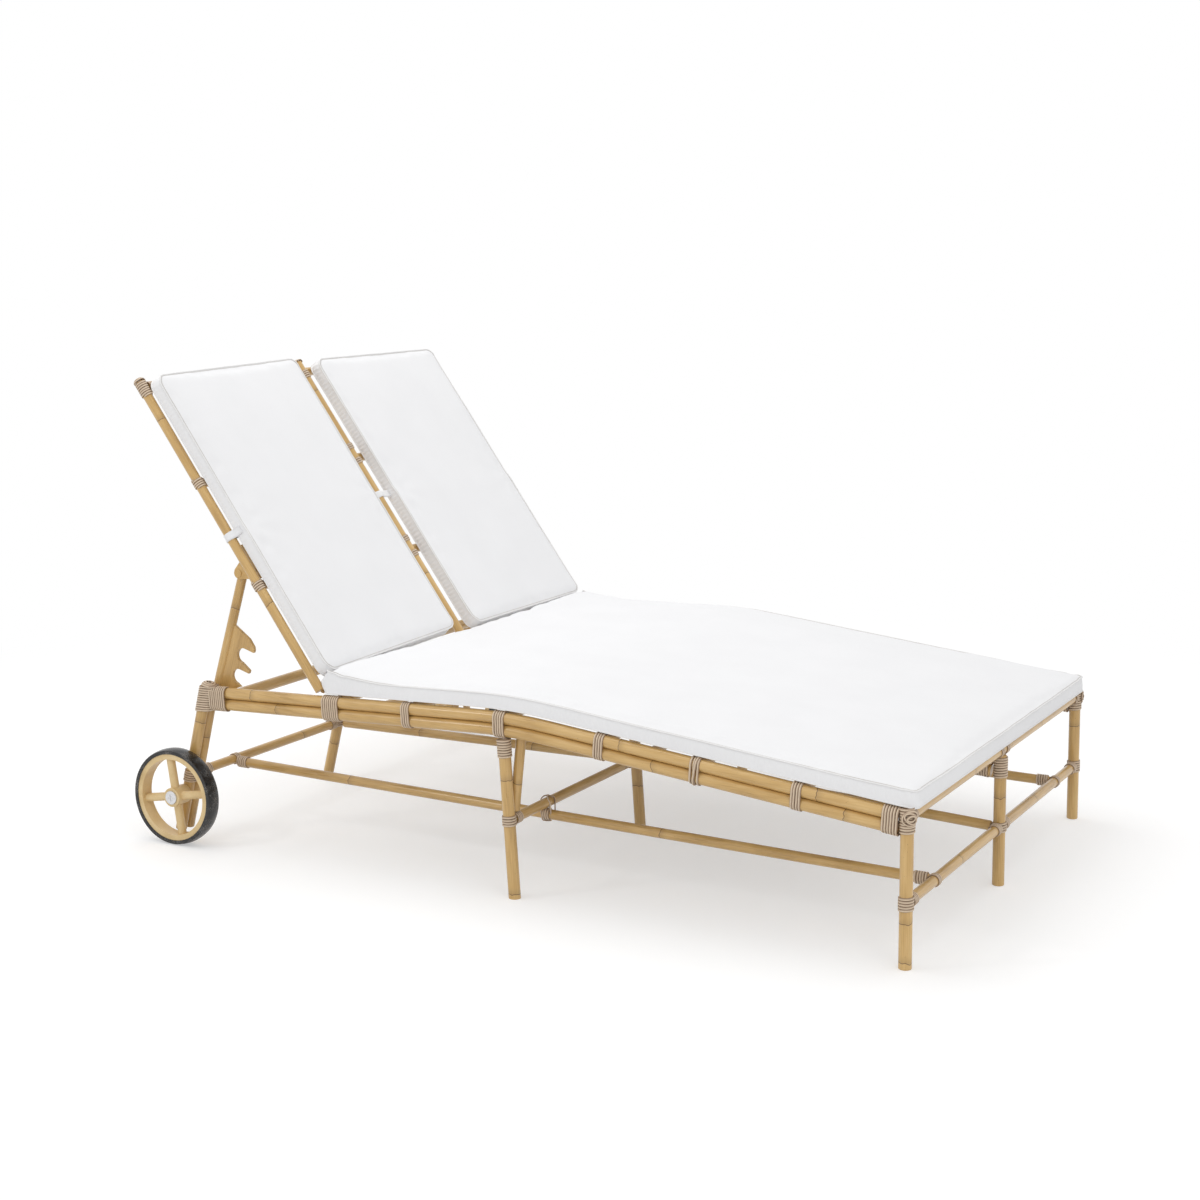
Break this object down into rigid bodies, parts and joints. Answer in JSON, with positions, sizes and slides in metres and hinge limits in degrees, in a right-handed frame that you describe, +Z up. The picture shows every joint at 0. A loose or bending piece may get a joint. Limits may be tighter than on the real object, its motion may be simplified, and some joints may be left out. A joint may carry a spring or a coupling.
{
  "type": "double chaise lounger",
  "caption": "Wide sun lounger for two on a cane-bound pole frame, with rear wheels, a reclining back on notched props, and seat and back cushions.",
  "frame": {"origin": "middle of the footprint, on the ground", "axes": "+X towards the foot end, +Y to the lying user's left, +Z up"},
  "size_m": [2.1734, 1.454, 1.2318],
  "materials": {
    "pole_wood": "smooth peeled cane poles with a thin varnish",
    "cane_binding": "wound split cane, matte",
    "cushion_fabric": "woven outdoor cloth over foam, off-white",
    "strap_fabric": "woven tape, off-white",
    "tyre": "black rubber",
    "wheel_paint": "honey paint to match the poles",
    "bracket_paint": "honey paint",
    "metal": "bright zinc"
  },
  "bodies": {
    "base_frame": {"right_rail_upper": "pole_wood", "right_rail_lower": "pole_wood", "right_foot_leg": "pole_wood", "right_mid_leg": "pole_wood", "right_mid_brace": "pole_wood", "right_rear_leg_outer": "pole_wood", "right_rear_leg_inner": "pole_wood", "right_stretcher": "pole_wood", "right_axle": "metal", "right_bindings": "cane_binding", "left_rail_upper": "pole_wood", "left_rail_lower": "pole_wood", "left_foot_leg": "pole_wood", "left_mid_leg": "pole_wood", "left_mid_brace": "pole_wood", "left_rear_leg_outer": "pole_wood", "left_rear_leg_inner": "pole_wood", "left_stretcher": "pole_wood", "left_axle": "metal", "left_bindings": "cane_binding", "center_rail": "pole_wood", "center_foot_leg": "pole_wood", "center_mid_leg": "pole_wood", "center_rear_leg": "pole_wood", "foot_low_crossbar": "pole_wood", "mid_low_crossbar": "pole_wood", "rear_low_crossbar": "pole_wood", "center_stretcher": "pole_wood", "foot_top_crossbar": "pole_wood", "hinge_crossbar": "pole_wood", "prop_crossbar": "pole_wood", "hinge_collars": "bracket_paint", "seat_cushion": "cushion_fabric", "center_bindings": "cane_binding", "seat_slat_1": "pole_wood", "seat_slat_2": "pole_wood", "seat_slat_3": "pole_wood", "seat_slat_4": "pole_wood", "seat_slat_5": "pole_wood"},
    "backrest": {"right_back_pole": "pole_wood", "left_back_pole": "pole_wood", "center_back_pole": "pole_wood", "back_hinge_bar": "pole_wood", "back_slat_lower": "pole_wood", "back_slat_upper": "pole_wood", "back_top_bar": "pole_wood", "right_prop_bracket": "bracket_paint", "left_prop_bracket": "bracket_paint", "right_prop_pin": "metal", "left_prop_pin": "metal", "right_back_cushion": "cushion_fabric", "left_back_cushion": "cushion_fabric", "cushion_straps": "strap_fabric", "back_bindings": "cane_binding"},
    "right_prop_arm": {"right_prop": "pole_wood"},
    "left_prop_arm": {"left_prop": "pole_wood"},
    "right_wheel_set": {"right_wheel": "wheel_paint", "right_tyre": "tyre"},
    "left_wheel_set": {"left_wheel": "wheel_paint", "left_tyre": "tyre"}
  },
  "joints": [
    {"name": "backrest_recline", "type": "hinge", "parent": "base_frame", "child": "backrest", "pos_m": [-0.50832, 0, 0.4495], "axis": [0, -1, 0], "range_deg": [0, 53]},
    {"name": "right_prop_swing", "type": "hinge", "parent": "backrest", "child": "right_prop_arm", "pos_m": [-0.77158, -0.6187, 0.72462], "axis": [0, -1, 0], "range_deg": [-126.5, 0]},
    {"name": "left_prop_swing", "type": "hinge", "parent": "backrest", "child": "left_prop_arm", "pos_m": [-0.77158, 0.6187, 0.72462], "axis": [0, -1, 0], "range_deg": [-126.5, 0]},
    {"name": "right_wheel_roll", "type": "hinge", "parent": "base_frame", "child": "right_wheel_set", "pos_m": [-0.94074, -0.7025, 0.1275], "axis": [0, 1, 0], "continuous": true},
    {"name": "left_wheel_roll", "type": "hinge", "parent": "base_frame", "child": "left_wheel_set", "pos_m": [-0.94074, 0.7025, 0.1275], "axis": [0, 1, 0], "continuous": true}
  ],
  "couplings": [
    {"joint": "right_prop_swing", "follows": "backrest_recline", "ratio": -2.38},
    {"joint": "left_prop_swing", "follows": "backrest_recline", "ratio": -2.38}
  ]
}
